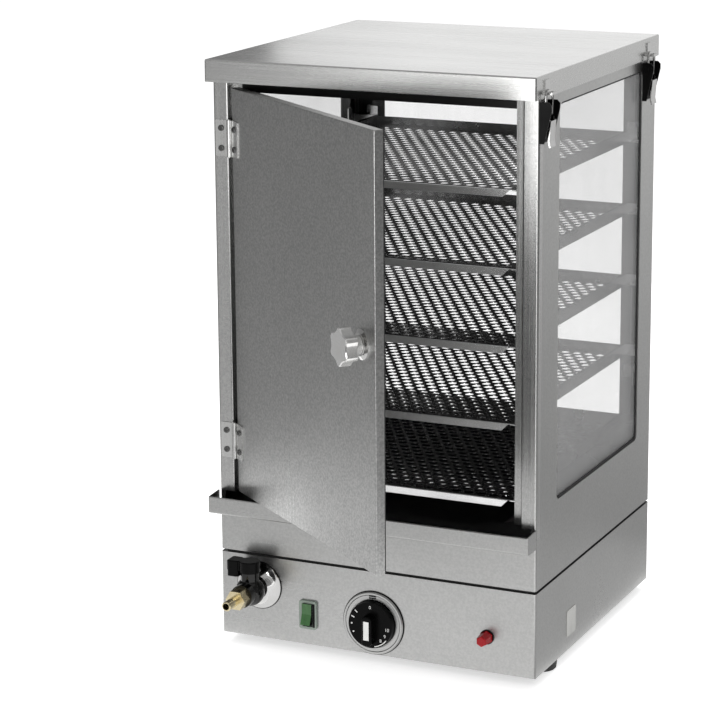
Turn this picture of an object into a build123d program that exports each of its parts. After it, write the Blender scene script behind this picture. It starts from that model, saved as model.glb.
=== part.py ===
from build123d import *
import os
from math import sqrt

# Proofing cabinet: a steam cabinet for dumplings. A base box with the controls carries a tank section
# with a glazed cabinet above it, five perforated trays, a left-hinged door and a lift-off lid.
# Millimetres. X runs left to right seen from the front, Y from front to back, Z up from the floor.
# The origin is on the floor, in the middle of the four feet.

# Driving dimensions: the body
SHEET = 1.2
BODY_W = 353.6
BODY_D = 346.0
FOOT_H = 12.0
FOOT_R = 17.0
BASE_H = 89.0
SEAM_H = 3.0
SEAM_INSET = 4.0        # the seam's gasket, in from the outside of the body
DECK_Z = 158.0          # top of the tank section
POST_Z = 168.0          # lower end of the front posts
BODY_TOP_Z = 616.0
POST_FACE_W = 17.1      # visible front face of each post
RETURN_D = 10.0         # how far bent sheets turn round a corner
REVEAL_D = 11.3         # depth of the door recess
STOP_W = 10.7           # door stop flange beside each post
STOP_H = 9.5            # door stop flange under the head rail
HEAD_Z = 596.5
CORNER_R = 2.4
LID_W = 357.2
LID_FRONT_Y = -187.4
LID_REAR_Y = 177.6
LID_TOP_Z = 622.0
LID_SKIRT = 22.7

# Windows
WINDOW_FRONT_Y = -118.0
WINDOW_REAR_Y = 129.0
REAR_WINDOW_HALF_W = 144.0
WINDOW_LOW_Z = 184.0
WINDOW_HIGH_Z = 588.4
WINDOW_R = 8.0
GLASS_T = 4.0
GLASS_LAP = 11.0
GASKET_T = 1.5
GASKET_SHOW = 2.0
CLIP_Z = (250.0, 520.0)
CLIP_W = 14.0
CLIP_REACH = 7.0

# Door, its hinges, knob and latch
DOOR_W = 311.0
DOOR_LOW_Z = 169.3
DOOR_HIGH_Z = 592.7
DOOR_PAN_D = 8.0
DOOR_PAN_SHEET = 1.0
DOOR_SEAL_T = 1.6
DOOR_OPEN_DEG = 38.0    # how far the door stands open at rest
HINGE_R = 2.6
HINGE_PIN_R = 1.4
HINGE_Z = (223.8, 540.8)
HINGE_H = 37.4
HINGE_LEAF = (0.8, 16.2)    # near and far edge of a leaf, from the axis
HINGE_LEAF_T = 1.5
HINGE_SCREW = (9.6, 10.3)   # out from the axis, and up and down from the middle
SCREW_R = 1.6
KNOB_IN = 26.0          # spindle to the free edge of the door
KNOB_Z = 388.0
KNOB_R = 18.6           # over the lobes
KNOB_T = 12.0
KNOB_OUT = 25.0         # front of the knob to the door
ROSETTE_T = 3.5
SPINDLE_R = 4.0
CAM_LONG = 28.0
CAM_T = 2.2
CAM_GAP = 0.6           # cam to the back of the door stop

# Trays and what carries them
TRAY_N = 5
TRAY_LOW_Z = 191.7
TRAY_PITCH = 78.8
TRAY_HALF_W = 147.0
TRAY_FRONT_Y = -158.0
TRAY_REAR_Y = 160.0
TRAY_SHEET = 0.8
TRAY_FLANGE = 10.0
TRAY_LIP = 8.0
TRAY_LIP_HALF_W = (141.0, 133.0)    # at the top and at the bottom of the lip
TRAY_MARGIN = 9.0
TRAY_BEND_R = 1.2
HOLE_D = 9.4
HOLE_PITCH = 13.5
RUNNER_X = 149.2
RUNNER_SHELF = 7.5

# Tank, heater and gutter
TUB_LOW_Z = 110.0
TUB = (298.0, 300.0, 70.0)      # width, depth and corner radius of the tub
HEATER_R = 4.2
HEATER_LIFT = 9.0               # heater above the tub's floor
HEATER_TURNS = 3
HEATER_STEP = 16.0
HEATER_REACH = 118.0
HEATER_BEND_R = 58.0
GUTTER_LOW_Z = 148.5
GUTTER_HIGH_Z = 166.5
GUTTER_D = 22.7
GUTTER_OVERHANG = 2.0           # past the body on the left

# Controls, as X and Z on the front panel
DIAL = (-1.0, 46.6)
DIAL_R = 25.3
DIAL_SHAFT_R = 3.0
BEZEL_R = 33.5
SWITCH = (-75.5, 45.0)
SWITCH_FRAME = (20.0, 31.0)
ROCKER_TILT = 11.0
ROCKER_DEPTH = 2.0      # the rocker's pivot, behind the face of the panel
ROCKER_HALF_W = 5.4
TRUNNION_R = 1.2
LAMP = (124.6, 49.6)
LAMP_R = 4.8
DRAIN = (-132.3, 69.5)
COCK_STEM_OUT = 22.0    # the handle's axis to the panel
COCK_STEM_R = 4.0
COCK_BALL_R = 15.5
COCK_TOP = 21.0         # top of the bonnet, above the drain's axis
LEVER_H = 12.0
LEVER_REACH = 23.0
LEVER_SQUARE = 2.8      # half of the stem's square
TAIL_R = 5.0
TAIL_L = 20.0
TAIL_START = 42.0       # hexagon of the hose tail to the panel
TAIL_HEX = (19.0, 14.0) # across flats, and long
GLAND = (-110.0, 50.0)
GLAND_BORE_R = 4.0
LABEL = (-71.0, 41.0, 26.0, 28.0)   # Y, Z, width and height

# Toggle latches
LATCH_Y = (-161.0, 141.0)
LATCH_PIVOT_Z = 580.0
LATCH_PIVOT_OUT = 5.0   # pivot to the outside of the wall
LATCH_PIN_R = 1.5
LATCH_EAR = (4.0, 5.5)  # near and far face of the bracket's ears, from the middle
LATCH_TAB = (5.8, 7.3)  # the same for the lever's tabs
LATCH_CHEEK = (10.8, 11.8)  # the same for the bracket's cheeks, outside the wire
LATCH_CHEEK_OUT = 12.0      # cheeks to the outside of the wall, at the top
LATCH_LOW_Z = 556.0
LATCH_HIGH_Z = 596.5
BAIL_HALF_W = 9.15
BAIL_TOP_Z = 606.1
WIRE_R = 1.25

RUN_CLEAR = 0.05        # radial clearance where one piece turns on another

# Worked out from the driving dimensions
HALF_W = BODY_W / 2
HALF_D = BODY_D / 2
BASE_LOW_Z = FOOT_H
BASE_HIGH_Z = FOOT_H + BASE_H
BODY_LOW_Z = BASE_HIGH_Z + SEAM_H
FRONT_Y = -HALF_D
INNER_W = HALF_W - SHEET
STOP_Y = FRONT_Y + REVEAL_D
REVEAL_X = HALF_W - POST_FACE_W
STOP_X = REVEAL_X - STOP_W
DOOR_HALF_W = DOOR_W / 2
HINGE_X = -(REVEAL_X + DOOR_HALF_W) / 2
HINGE_Y = FRONT_Y - HINGE_R
KNOB_X = DOOR_HALF_W - KNOB_IN
TRAY_Z = [TRAY_LOW_Z + i * TRAY_PITCH for i in range(TRAY_N)]
FOOT_XY = [(-158.0, -108.0), (158.0, -108.0), (-132.0, 108.0), (132.0, 108.0)]
COCK_STEM_Y = FRONT_Y - COCK_STEM_OUT
HEATER_Z = TUB_LOW_Z + HEATER_LIFT
HEATER_ENDS = [(20.0, HEATER_REACH), (-20.0, HEATER_REACH - HEATER_TURNS * HEATER_STEP)]
PIVOT = (HALF_W + LATCH_PIVOT_OUT, LATCH_PIVOT_Z)
BAIL_PIN = (PIVOT[0] - 1.0, PIVOT[1] - 8.0)
BAIL_TOP = (PIVOT[0] + 0.5, BAIL_TOP_Z)


def block(x, y, z):
    """A box between pairs of limits."""
    size = [abs(b - a) for a, b in (x, y, z)]
    centre = [(a + b) / 2 for a, b in (x, y, z)]
    return Pos(*centre) * Box(*size)


def rod(start, axis, radius, length):
    """A cylinder from start along an axis."""
    plane = Plane(origin=start, z_dir=axis)
    return extrude(plane * Circle(radius), amount=length)


def prism(start, axis, flats, length, up=(0, 0, 1)):
    """A hexagonal bar from start along an axis."""
    side = Vector(*up).cross(Vector(*axis))
    plane = Plane(origin=start, x_dir=side, z_dir=axis)
    return extrude(plane * RegularPolygon(flats / 2, 6, major_radius=False), amount=length)


def bent_sheet(points, radius, low, high, thickness=SHEET):
    """Sheet metal bent along a plan-view line, standing from low to high."""
    profile = trace(FilletPolyline(*points, radius=radius), line_width=thickness)
    return Pos(0, 0, low) * extrude(profile, amount=high - low)


def mirrored(shape):
    return mirror(shape, about=Plane.YZ)


def joined(shapes):
    """Separate solids as one node."""
    return Compound(children=[s for shape in shapes for s in shape.solids()])


def both_sides(shape):
    """A shape on the right and its mirror image on the left, as one node."""
    return joined([shape, *[mirrored(solid) for solid in shape.solids()]])


def side_window(half_extra, x0, x1):
    """The window outline of a side wall, grown by half_extra, as a solid from x0 to x1."""
    y_mid = (WINDOW_FRONT_Y + WINDOW_REAR_Y) / 2
    z_mid = (WINDOW_LOW_Z + WINDOW_HIGH_Z) / 2
    width = WINDOW_REAR_Y - WINDOW_FRONT_Y + 2 * half_extra
    height = WINDOW_HIGH_Z - WINDOW_LOW_Z + 2 * half_extra
    outline = Pos(y_mid, z_mid) * RectangleRounded(width, height, WINDOW_R + max(half_extra, -WINDOW_R / 2))
    return Pos(x0, 0, 0) * extrude(Plane.YZ * outline, amount=x1 - x0)


def rear_window(half_extra, y0, y1):
    """The window outline of the rear wall, grown by half_extra, as a solid from y0 to y1."""
    z_mid = (WINDOW_LOW_Z + WINDOW_HIGH_Z) / 2
    width = 2 * (REAR_WINDOW_HALF_W + half_extra)
    height = WINDOW_HIGH_Z - WINDOW_LOW_Z + 2 * half_extra
    outline = Pos(0, z_mid) * RectangleRounded(width, height, WINDOW_R + max(half_extra, -WINDOW_R / 2))
    return Pos(0, y1, 0) * extrude(Plane.XZ * outline, amount=y1 - y0)


# Base

def base_shell():
    """Front and rear sheets that wrap the corners, flat sides between them, and a frame inside the top."""
    x, y, near = HALF_W - SHEET / 2, HALF_D - SHEET / 2, HALF_D - RETURN_D
    bend = CORNER_R - SHEET / 2
    front = bent_sheet([(-x, -near), (-x, -y), (x, -y), (x, -near)], bend, BASE_LOW_Z, BASE_HIGH_Z)
    rear = bent_sheet([(-x, near), (-x, y), (x, y), (x, near)], bend, BASE_LOW_Z, BASE_HIGH_Z)
    side = block((INNER_W, HALF_W), (-near, near), (BASE_LOW_Z, BASE_HIGH_Z))
    rim = RectangleRounded(2 * INNER_W, BODY_D - 2 * SHEET, CORNER_R - SHEET)
    rim -= RectangleRounded(BODY_W - 40, BODY_D - 40, 6)
    frame = Pos(0, 0, BASE_HIGH_Z - SHEET) * extrude(rim, amount=SHEET)
    start = FRONT_Y - 1
    front -= rod((DIAL[0], start, DIAL[1]), (0, 1, 0), 5.0, 4)
    front -= Pos(SWITCH[0], FRONT_Y, SWITCH[1]) * Box(15, 4, 27)
    front -= rod((LAMP[0], start, LAMP[1]), (0, 1, 0), LAMP_R + 0.2, 4)
    front -= rod((DRAIN[0], start, DRAIN[1]), (0, 1, 0), 9.0, 4)
    rear -= rod((GLAND[0], HALF_D - 3, GLAND[1]), (0, 1, 0), 9.5, 6)
    return joined([front, rear, side, mirrored(side), frame])


def base_bottom_plate():
    plate = RectangleRounded(BODY_W - 2 * SHEET - 0.6, BODY_D - 2 * SHEET - 0.6, 1)
    bottom = Pos(0, 0, BASE_LOW_Z) * extrude(plate, amount=SHEET)
    vents = [
        block((x - 20, x + 20), (y - 2, y + 2), (BASE_LOW_Z - 1, BASE_LOW_Z + 3))
        for x in (-60, 0, 60)
        for y in (40, 55, 70, 85)
    ]
    for vent in vents:
        bottom -= vent
    return bottom


def rubber_feet():
    """Turned feet with a rounded tread and a recess for the screw."""
    outline = Polyline(
        (4, 4), (8, 4), (8, 0), (FOOT_R - 2.5, 0), (FOOT_R - 1, 1.5), (FOOT_R, FOOT_H - 2),
        (FOOT_R, FOOT_H), (4, FOOT_H), close=True,
    )
    foot = revolve(Plane.XZ * make_face(outline), axis=Axis.Z)
    return joined([Pos(x, y, 0) * foot for x, y in FOOT_XY])


def foot_screws():
    head = rod((0, 0, 1.2), (0, 0, 1), 7.0, 2.8)
    shank = rod((0, 0, 4), (0, 0, 1), 3.8, FOOT_H - 4)
    return joined([Pos(x, y, 0) * (head + shank) for x, y in FOOT_XY])


def seam_gasket():
    inset = 2 * SEAM_INSET
    outer = RectangleRounded(BODY_W - inset, BODY_D - inset, 3)
    inner = RectangleRounded(BODY_W - inset - 20, BODY_D - inset - 20, 3)
    return Pos(0, 0, BASE_HIGH_Z) * extrude(outer - inner, amount=SEAM_H)


def thermostat_body():
    x, z = DIAL
    y = FRONT_Y + SHEET
    case = block((x - 19, x + 19), (y + 6, y + 34), (z - 17, z + 17))
    neck = rod((x, y, z), (0, 1, 0), 8.0, 6)
    bore = rod((x, y - 1, z), (0, 1, 0), DIAL_SHAFT_R + RUN_CLEAR, 26)
    return case + neck - bore


def thermostat_shaft():
    x, z = DIAL
    return rod((x, FRONT_Y - 12, z), (0, 1, 0), DIAL_SHAFT_R, 12 + SHEET + 20)


def dial_bezel():
    """A ring on the panel: a raised rim, a flat band for the marks, and a dial plate sunk inside it."""
    x, z = DIAL
    band, plate, hole = 2.9, 1.2, 4.0
    inside = DIAL_R + 0.9
    outline = Polyline(
        (hole, 0), (BEZEL_R, 0), (BEZEL_R, 2.0), (BEZEL_R - 1.0, 3.5), (BEZEL_R - 2.7, 3.5),
        (BEZEL_R - 3.5, band), (inside, band), (inside, plate), (hole, plate), close=True,
    )
    ring = revolve(Plane.XZ * make_face(outline), axis=Axis.Z)
    return Pos(x, FRONT_Y, z) * Rot(90, 0, 0) * ring


def dial_knob():
    """A skirted knob with a raised grip bar, longer below its axis than above."""
    x, z = DIAL
    start = FRONT_Y - 2.6
    skirt = extrude(Plane(origin=(x, start, z), z_dir=(0, -1, 0)) * Circle(DIAL_R), amount=7, taper=8)
    grip = block((x - 5.5, x + 5.5), (start - 17, start - 6), (z - 20, z + 12))
    grip = fillet(grip.edges().filter_by(Axis.Y), 4)
    grip = fillet(grip.faces().sort_by(Axis.Y)[0].edges(), 1.5)
    bore = rod((x, FRONT_Y - 12, z), (0, 1, 0), DIAL_SHAFT_R, 12)
    return skirt + grip - bore


def switch_housing():
    """A panel frame and its body, with a pocket and two pivot holes for the rocker, and four tabs."""
    x, z = SWITCH
    width, height = SWITCH_FRAME
    flange = Plane(origin=(x, FRONT_Y, z), x_dir=(1, 0, 0), z_dir=(0, -1, 0))
    frame = extrude(flange * RectangleRounded(width, height, 3), amount=3.2)
    frame = fillet(frame.faces().sort_by(Axis.Y)[0].edges(), 0.8)
    body = block((x - 7, x + 7), (FRONT_Y, FRONT_Y + 22), (z - 13, z + 13))
    pocket = block((x - 5.6, x + 5.6), (FRONT_Y - 4, FRONT_Y + 9), (z - 12.6, z + 12.6))
    pocket += rod((x - 6.9, FRONT_Y + ROCKER_DEPTH, z), (1, 0, 0), TRUNNION_R + RUN_CLEAR, 13.8)
    tab = block((x - 3.2, x - 2.4), (FRONT_Y + 22, FRONT_Y + 28), (z - 8, z - 3))
    tabs = [Pos(dx, 0, dz) * tab for dx in (0, 5.6) for dz in (0, 11)]
    housing = frame + body - pocket
    for piece in tabs:
        housing += piece
    return housing


def switch_rocker():
    """A rocker with two faces that meet over its pivot, resting with its upper half pressed in."""
    x, z = SWITCH
    y = FRONT_Y + ROCKER_DEPTH
    outline = Polyline(
        (0, 7.6), (11.1, 9.6), (10.9, 3.4), (6, -4.0), (-6, -4.0), (-10.9, 3.4), (-11.1, 9.6), close=True
    )
    plane = Plane(origin=(x - ROCKER_HALF_W, y, z), x_dir=(0, 0, 1), z_dir=(1, 0, 0))
    rocker = extrude(plane * make_face(outline), amount=2 * ROCKER_HALF_W)
    rocker += rod((x - 6.7, y, z), (1, 0, 0), TRUNNION_R, 13.4)
    return rocker.rotate(Axis((x, y, z), (1, 0, 0)), -ROCKER_TILT)


def lamp_body():
    x, z = LAMP
    barrel = rod((x, FRONT_Y - 0.1, z), (0, 1, 0), LAMP_R, 26)
    collar = rod((x, FRONT_Y - 1.6, z), (0, 1, 0), 7.6, 1.6)
    nut = prism((x, FRONT_Y + SHEET, z), (0, 1, 0), 15, 3)
    return barrel + collar + nut


def lamp_lens():
    """A tapered six-sided lens."""
    x, z = LAMP
    plane = Plane(origin=(x, FRONT_Y - 1.6, z), z_dir=(0, -1, 0))
    lens = extrude(plane * RegularPolygon(6.2, 6, major_radius=False), amount=15, taper=5)
    return fillet(lens.faces().sort_by(Axis.Y)[0].edges(), 1.2)


def cable_gland():
    """An empty strain relief for a supply cable, through the rear of the base."""
    x, z = GLAND
    inside = HALF_D - SHEET
    thread = rod((x, inside - 10, z), (0, 1, 0), 9.4, 10 + SHEET)
    locknut = prism((x, inside - 5, z), (0, 1, 0), 24, 5)
    body = prism((x, HALF_D, z), (0, 1, 0), 23, 7)
    dome = rod((x, HALF_D + 7, z), (0, 1, 0), 10.5, 12)
    dome = fillet(dome.faces().sort_by(Axis.Y)[-1].edges(), 4)
    bore = rod((x, inside - 11, z), (0, 1, 0), GLAND_BORE_R, 40)
    return thread + locknut + body + dome - bore


def rating_label():
    """A blank plate on the right side of the base."""
    y, z, width, height = LABEL
    label = Pos(y, z) * RectangleRounded(width, height, 2)
    return Pos(HALF_W, 0, 0) * extrude(Plane.YZ * label, amount=0.5)


# Drain cock

def drain_rosette():
    x, z = DRAIN
    back = Line((7, 0), (25, 0))
    rim = Line((25, 0), (25, 1.4))
    bell = ThreePointArc((25, 1.4), (18.0, 3.6), (13, 8.0))
    front = Polyline((13, 8.0), (7, 8.0), (7, 0))
    cup = revolve(Plane.XZ * make_face(back + rim + bell + front), axis=Axis.Z)
    return Pos(x, FRONT_Y, z) * Rot(90, 0, 0) * cup


def drain_valve_body():
    """A turned body with a ball, threaded through the panel, bored along and across."""
    x, z = DRAIN
    inlet = rod((x, FRONT_Y + 30, z), (0, -1, 0), 6.9, 42)
    ball = Pos(x, COCK_STEM_Y, z) * Sphere(COCK_BALL_R)
    barrel = rod((x, COCK_STEM_Y, z), (0, -1, 0), 12, TAIL_START - COCK_STEM_OUT)
    bonnet = rod((x, COCK_STEM_Y, z), (0, 0, 1), 9.5, COCK_TOP)
    body = inlet + ball + barrel + bonnet
    body -= rod((x, FRONT_Y + 31, z), (0, -1, 0), 4.0, 80)
    body -= rod((x, COCK_STEM_Y, z - 4), (0, 0, 1), COCK_STEM_R + RUN_CLEAR, 34)
    return body


def drain_hose_tail():
    """A hexagon to screw it on by, and a plain tail that a hose slides over."""
    x, z = DRAIN
    flats, length = TAIL_HEX
    start = FRONT_Y - TAIL_START
    hexagon = prism((x, start, z), (0, -1, 0), flats, length)
    tail = rod((x, start - length, z), (0, -1, 0), TAIL_R, TAIL_L)
    tail = chamfer(tail.faces().sort_by(Axis.Y)[0].edges(), 0.8)
    return hexagon + tail - rod((x, start + 1, z), (0, -1, 0), 3.6, 40)


def stem_square(low, high):
    """The square that the stem turns the lever by."""
    x, half = DRAIN[0], LEVER_SQUARE
    return block((x - half, x + half), (COCK_STEM_Y - half, COCK_STEM_Y + half), (low, high))


def drain_stem():
    """The turning stem: a plug across the valve's ball and a square for the handle."""
    x, z = DRAIN
    top = z + COCK_TOP
    stem = rod((x, COCK_STEM_Y, z - 3.5), (0, 0, 1), COCK_STEM_R, COCK_TOP + 3.5)
    port = rod((x, COCK_STEM_Y + 10, z), (0, -1, 0), 2.2, 20)
    return (stem + stem_square(top, top + 8) - port).rotate(Axis((x, COCK_STEM_Y, z), (0, 0, 1)), 90)


def drain_lever():
    """A chunky moulded lever: a round hub, an arm, and a block at its end that hangs lower."""
    x, z = DRAIN
    y = COCK_STEM_Y
    low = z + COCK_TOP + 0.4
    high = low + LEVER_H
    tip_x = x - LEVER_REACH
    hub = rod((x, y, low), (0, 0, 1), 11.0, LEVER_H)
    arm = block((tip_x, x), (y - 6.5, y + 6.5), (low + 1, high))
    tip = block((tip_x, tip_x + 13), (y - 8, y + 8), (low - 5, high))
    tip = fillet(tip.edges().filter_by(Axis.Z), 3)
    handle = hub + arm + tip
    handle = fillet(handle.faces().sort_by(Axis.Z)[-1].edges(), 1.2)
    return handle - stem_square(low - 1, z + COCK_TOP + 8)


def drain_pipe():
    """From the tank floor down to the inlet of the cock."""
    x, z = DRAIN
    end_y = FRONT_Y + 30
    path = FilletPolyline((x, end_y, z), (x, end_y + 30, z), (x, end_y + 30, TUB_LOW_Z), radius=14)
    ring = Plane(origin=path @ 0, z_dir=path % 0) * (Circle(6.9) - Circle(4.6))
    return sweep(ring, path=path)


# Tank section

def tub_outline(shrink=0.0):
    return RectangleRounded(TUB[0] - 2 * shrink, TUB[1] - 2 * shrink, TUB[2] - shrink)


def water_basin():
    """A pressed tub hanging from a flat deck, with a drain hole in its floor."""
    deck = Pos(0, 1.5) * Rectangle(2 * INNER_W - 1, 2 * (HALF_D - SHEET) - 5)
    deck = Pos(0, 0, DECK_Z - SHEET) * extrude(deck - tub_outline(), amount=SHEET)
    wall = Pos(0, 0, TUB_LOW_Z) * extrude(tub_outline() - tub_outline(SHEET), amount=DECK_Z - TUB_LOW_Z)
    floor = Pos(0, 0, TUB_LOW_Z) * extrude(tub_outline(), amount=SHEET)
    basin = deck + wall + floor - rod((DRAIN[0], FRONT_Y + 60, TUB_LOW_Z - 1), (0, 0, 1), 4.6, 4)
    for x, y in HEATER_ENDS:
        basin -= rod((x, y, TUB_LOW_Z - 1), (0, 0, 1), HEATER_R + 0.2, 4)
    return basin


def heating_element():
    """A tubular heater wound as a flat three-turn spiral, its ends turned down through the floor."""
    start, end = HEATER_ENDS
    points = [(*start, TUB_LOW_Z - 12), (*start, HEATER_Z)]
    radii = [8.0]
    for turn in range(HEATER_TURNS):
        reach = HEATER_REACH - turn * HEATER_STEP
        corners = [(reach, reach), (reach, -reach), (-reach, -reach), (-reach, reach - HEATER_STEP)]
        points += [(x, y, HEATER_Z) for x, y in corners]
        radii += [HEATER_BEND_R - turn * HEATER_STEP] * 4
    points += [(*end, HEATER_Z), (*end, TUB_LOW_Z - 12)]
    radii.append(8.0)
    path = FilletPolyline(*points, radius=radii)
    return sweep(Plane(origin=path @ 0, z_dir=path % 0) * Circle(HEATER_R), path=path)


def front_tank_panel():
    x, y, back = HALF_W - SHEET / 2, FRONT_Y + SHEET / 2, FRONT_Y + RETURN_D
    return bent_sheet([(-x, back), (-x, y), (x, y), (x, back)], CORNER_R - SHEET / 2, BODY_LOW_Z, DECK_Z)


def drip_gutter():
    """An open channel on the front with a hemmed rim and closed ends."""
    left, right = -HALF_W - GUTTER_OVERHANG, HALF_W
    front = FRONT_Y - GUTTER_D
    back_z = GUTTER_HIGH_Z + 1.5
    floor = block((left, right), (front, FRONT_Y), (GUTTER_LOW_Z, GUTTER_LOW_Z + SHEET))
    wall = block((left, right), (front, front + SHEET), (GUTTER_LOW_Z, GUTTER_HIGH_Z))
    hem = block((left, right), (front, front + 2 * SHEET), (GUTTER_HIGH_Z - 5, GUTTER_HIGH_Z))
    back = block((left, right), (FRONT_Y - SHEET, FRONT_Y), (GUTTER_LOW_Z, DECK_Z - 1))
    outline = Polyline(
        (front, GUTTER_LOW_Z), (FRONT_Y, GUTTER_LOW_Z), (FRONT_Y, back_z), (front, GUTTER_HIGH_Z), close=True
    )
    cap = extrude(Plane.YZ * make_face(outline), amount=SHEET)
    gutter = floor + wall + hem + back + Pos(left, 0, 0) * cap + Pos(right - SHEET, 0, 0) * cap
    low = gutter.edges().filter_by(Axis.X).group_by(Axis.Z)[0].sort_by(Axis.Y)[0]
    gutter = fillet(low, 2.0)
    rim = gutter.edges().filter_by(Axis.X).filter_by(lambda e: abs(e.center().Z - GUTTER_HIGH_Z) < 0.01)
    return fillet(rim.filter_by(lambda e: e.length > 100), 1.1)


# Cabinet

def right_wall():
    wall = block((INNER_W, HALF_W), (FRONT_Y + RETURN_D, HALF_D - RETURN_D), (BODY_LOW_Z, BODY_TOP_Z))
    return wall - side_window(0, INNER_W - 1, HALF_W + 1)


def rear_wall():
    x, y, near = HALF_W - SHEET / 2, HALF_D - SHEET / 2, HALF_D - RETURN_D
    wall = bent_sheet([(-x, near), (-x, y), (x, y), (x, near)], CORNER_R - SHEET / 2, BODY_LOW_Z, BODY_TOP_Z)
    return wall - rear_window(0, HALF_D - 3, HALF_D + 1)


def right_post():
    """Front post: corner, face, reveal and door stop in one bent sheet."""
    half = SHEET / 2
    points = [
        (HALF_W - half, FRONT_Y + RETURN_D),
        (HALF_W - half, FRONT_Y + half),
        (REVEAL_X + half, FRONT_Y + half),
        (REVEAL_X + half, STOP_Y + half),
        (STOP_X, STOP_Y + half),
    ]
    post = bent_sheet(points, [CORNER_R - half, 1.2, 0.9], POST_Z, BODY_TOP_Z)
    foot = bent_sheet(points[:2] + [(HALF_W - 6, FRONT_Y + half)], CORNER_R - half, DECK_Z, POST_Z)
    return post + foot


def head_rail():
    """The top of the door frame, bent like the posts, its stop flange fitting between theirs."""
    x = REVEAL_X - 0.2
    half = SHEET / 2
    points = [
        (FRONT_Y + half, BODY_TOP_Z),
        (FRONT_Y + half, HEAD_Z + half),
        (STOP_Y + half, HEAD_Z + half),
        (STOP_Y + half, HEAD_Z - STOP_H),
    ]
    profile = trace(FilletPolyline(*points, radius=1.2), line_width=SHEET)
    rail = Pos(-x, 0, 0) * extrude(Plane.YZ * profile, amount=2 * x)
    notch = block((STOP_X - 0.2, x + 1), (STOP_Y - 0.2, STOP_Y + 5), (HEAD_Z - 20, HEAD_Z + 5))
    return rail - notch - mirrored(notch)


def right_glass():
    outer = INNER_W - GASKET_T
    return side_window(GLASS_LAP, outer - GLASS_T, outer)


def rear_glass():
    outer = HALF_D - SHEET - GASKET_T
    return rear_window(GLASS_LAP, outer - GLASS_T, outer)


def right_gasket():
    x0 = INNER_W - GASKET_T
    return side_window(GLASS_LAP - 1, x0, INNER_W) - side_window(-GASKET_SHOW, x0 - 1, INNER_W + 1)


def rear_gasket():
    y0 = HALF_D - SHEET - GASKET_T
    return rear_window(GLASS_LAP - 1, y0, HALF_D - SHEET) - rear_window(-GASKET_SHOW, y0 - 1, HALF_D)


def clip(depth):
    """A small L clip: its foot on a wall at y 0, its lip reaching over a pane that ends at x 0."""
    across = (-CLIP_W / 2, CLIP_W / 2)
    foot = block((1.0, 9.0), (-SHEET, 0), across)
    leg = block((1.0, 1.0 + SHEET), (-depth - SHEET, 0), across)
    lip = block((-CLIP_REACH, 1.0 + SHEET), (-depth - SHEET, -depth), across)
    return foot + leg + lip


def glass_clips():
    """Clips that hold each pane against its gasket, two on each upright edge."""
    small = clip(GASKET_T + GLASS_T)
    clips = []
    for z in CLIP_Z:
        clips += [
            Pos(REAR_WINDOW_HALF_W + GLASS_LAP, HALF_D - SHEET, z) * small,
            Pos(INNER_W, WINDOW_FRONT_Y - GLASS_LAP, z) * Rot(0, 0, -90) * small,
            Pos(INNER_W, WINDOW_REAR_Y + GLASS_LAP, z) * Rot(0, 0, -90) * mirrored(small),
        ]
    return both_sides(joined(clips))


def tray_runners():
    """Five pairs of angle runners from the door stops back to tabs on the rear corners."""
    front, rear = STOP_Y + SHEET, HALF_D - RETURN_D + 1.5
    runners = []
    for z in TRAY_Z:
        low, top = z - TRAY_SHEET - SHEET, z + TRAY_FLANGE
        guide = block((RUNNER_X, RUNNER_X + SHEET), (front, rear), (low, top))
        shelf = block((RUNNER_X - RUNNER_SHELF, RUNNER_X), (front + 4, rear), (low, low + SHEET))
        front_tab = block((RUNNER_X, RUNNER_X + 10), (front, front + SHEET), (low, top))
        rear_tab = block((RUNNER_X, INNER_W), (rear - SHEET, rear), (low, top))
        runners.append(guide + shelf + front_tab + rear_tab)
    return both_sides(joined(runners))


def tray_plate():
    """The perforated floor of a tray: holes staggered at sixty degrees inside plain margins."""
    row_pitch = HOLE_PITCH * sqrt(3) / 2
    half_x = TRAY_HALF_W - TRAY_MARGIN
    first_y, last_y = TRAY_FRONT_Y + TRAY_MARGIN, TRAY_REAR_Y - TRAY_MARGIN
    rows = int((last_y - first_y) / row_pitch) + 1
    holes = []
    for row in range(rows):
        shift = HOLE_PITCH / 2 * (row % 2)
        count = int((half_x - shift) / HOLE_PITCH)
        for col in range(-count - row % 2, count + 1):
            x, y = col * HOLE_PITCH + shift, first_y + row * row_pitch
            holes.append(Wire.make_circle(HOLE_D / 2, Plane((x, y, 0))))
    outline = Wire.make_polygon([
        (-TRAY_HALF_W, TRAY_FRONT_Y), (TRAY_HALF_W, TRAY_FRONT_Y),
        (TRAY_HALF_W, TRAY_REAR_Y), (-TRAY_HALF_W, TRAY_REAR_Y),
    ])
    return extrude(Face(outline, holes), amount=-TRAY_SHEET, dir=(0, 0, 1))


def tray():
    """One perforated tray at z 0: floor, front lip bent down, sides and rear bent up."""
    plate = tray_plate()
    side_outline = Polyline(
        (TRAY_FRONT_Y, 0), (TRAY_FRONT_Y + 12, TRAY_FLANGE), (TRAY_REAR_Y, TRAY_FLANGE), (TRAY_REAR_Y, 0),
        close=True,
    )
    side = extrude(Plane.YZ * make_face(side_outline), amount=TRAY_SHEET)
    side = Pos(TRAY_HALF_W - TRAY_SHEET, 0, 0) * side
    rear = block((-TRAY_HALF_W, TRAY_HALF_W), (TRAY_REAR_Y - TRAY_SHEET, TRAY_REAR_Y), (0, TRAY_FLANGE))
    top, bottom = TRAY_LIP_HALF_W
    lip_outline = Polyline((-top, 0), (top, 0), (bottom, -TRAY_LIP), (-bottom, -TRAY_LIP), close=True)
    lip = Pos(0, TRAY_FRONT_Y, 0) * extrude(Plane.XZ * make_face(lip_outline), amount=-TRAY_SHEET)
    front = plate + lip
    bend = front.edges().filter_by(Axis.X).group_by(Axis.Y)[0].group_by(Axis.Z)[-1]
    return fillet(bend, TRAY_BEND_R) + side + mirrored(side) + rear


# Lid and its toggle latches

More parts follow.
